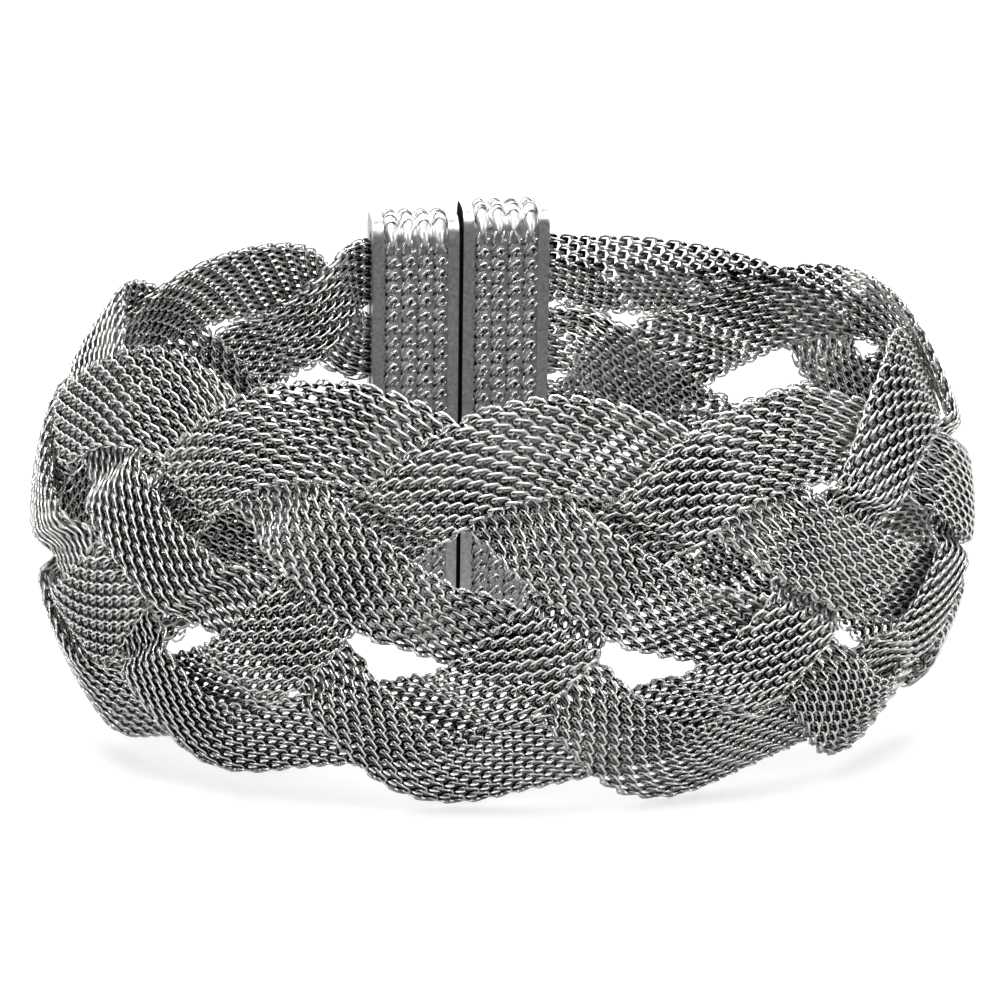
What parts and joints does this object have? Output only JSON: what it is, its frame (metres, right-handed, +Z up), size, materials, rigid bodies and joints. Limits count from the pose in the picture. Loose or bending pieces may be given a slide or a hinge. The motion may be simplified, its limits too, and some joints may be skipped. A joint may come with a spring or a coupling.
{
  "type": "woven mesh bracelet",
  "caption": "Wide bracelet of flattened wire-mesh ribbons in a flat braid, closed at the back by a magnetic bar clasp; worn round the wrist.",
  "frame": {"origin": "middle of the space the standing bracelet takes, on the surface under its lower edge", "axes": "+Z up, along the axis of the loop; +Y towards the clasp; +X to the wearer's side seen from the front of the braid"},
  "size_m": [0.0734, 0.045, 0.0369],
  "materials": {
    "wire_mesh": "silver-toned wire, slightly antiqued, bright on its crests",
    "clasp_metal": "satin grey cast metal"
  },
  "bodies": {
    "root": {"ribbon_1": "wire_mesh", "ribbon_2": "wire_mesh", "ribbon_3": "wire_mesh", "ribbon_4": "wire_mesh", "ribbon_5": "wire_mesh", "clasp_bar_left": "clasp_metal", "clasp_bar_right": "clasp_metal"}
  },
  "joints": []
}
